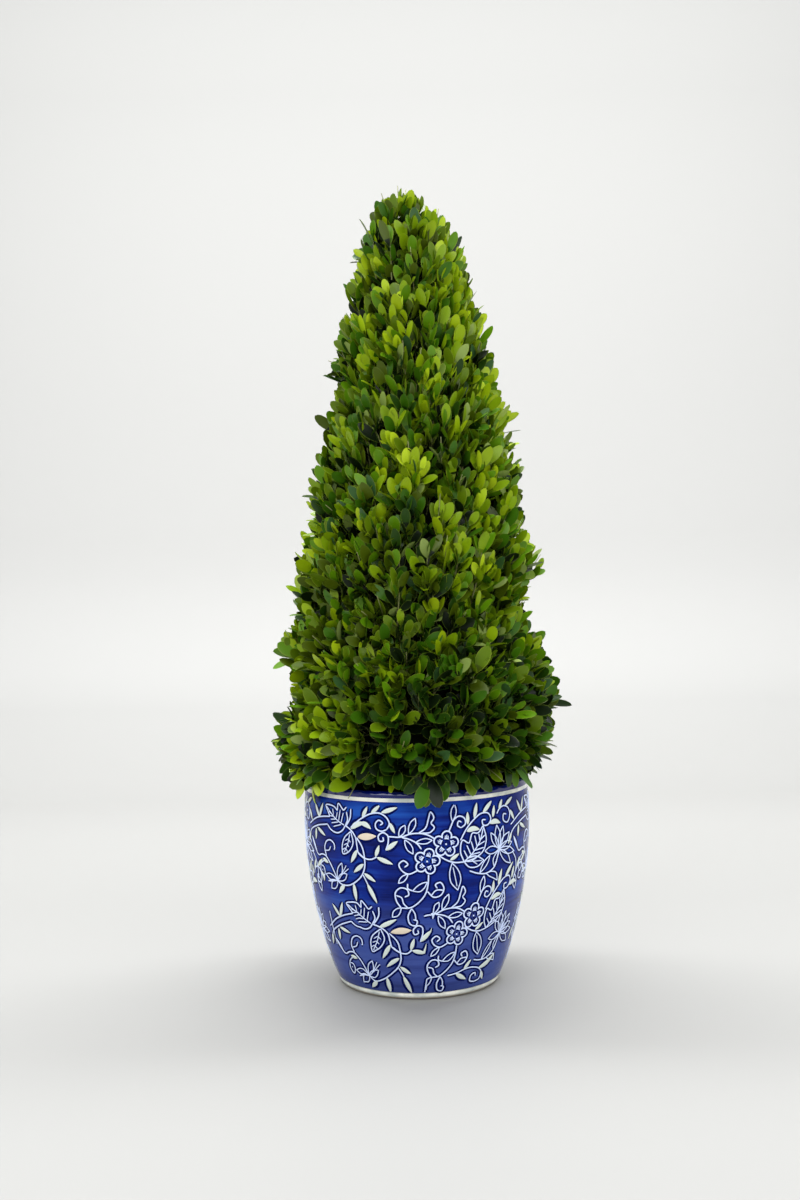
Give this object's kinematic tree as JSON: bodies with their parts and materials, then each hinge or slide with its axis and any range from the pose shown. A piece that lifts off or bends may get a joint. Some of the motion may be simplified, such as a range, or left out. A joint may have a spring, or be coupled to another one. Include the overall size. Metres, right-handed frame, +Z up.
{
  "type": "potted boxwood cone topiary",
  "caption": "Dense clipped boxwood cone on a short woody stem, growing from a round blue-and-white glazed pot that stands on its flat foot",
  "frame": {"origin": "centre of the flat underside of the pot", "axes": "+Z up along the pot's and the plant's common axis; -Y is the front, which the reference view shows; +X is to the right seen from the front"},
  "size_m": [0.2105, 0.2102, 0.615],
  "materials": {
    "pot_glaze": "gloss",
    "slip_glaze": "gloss",
    "bare_clay": "matte",
    "potting_mix": "matte",
    "bark": "matte",
    "boxwood_leaf": "satin",
    "boxwood_twig": "matte"
  },
  "bodies": {
    "root": {"pot": "pot_glaze", "potting_mix": "potting_mix", "stem": "bark", "foliage_skirt": "boxwood_leaf", "foliage_middle": "boxwood_leaf", "foliage_crown": "boxwood_leaf"}
  },
  "joints": []
}
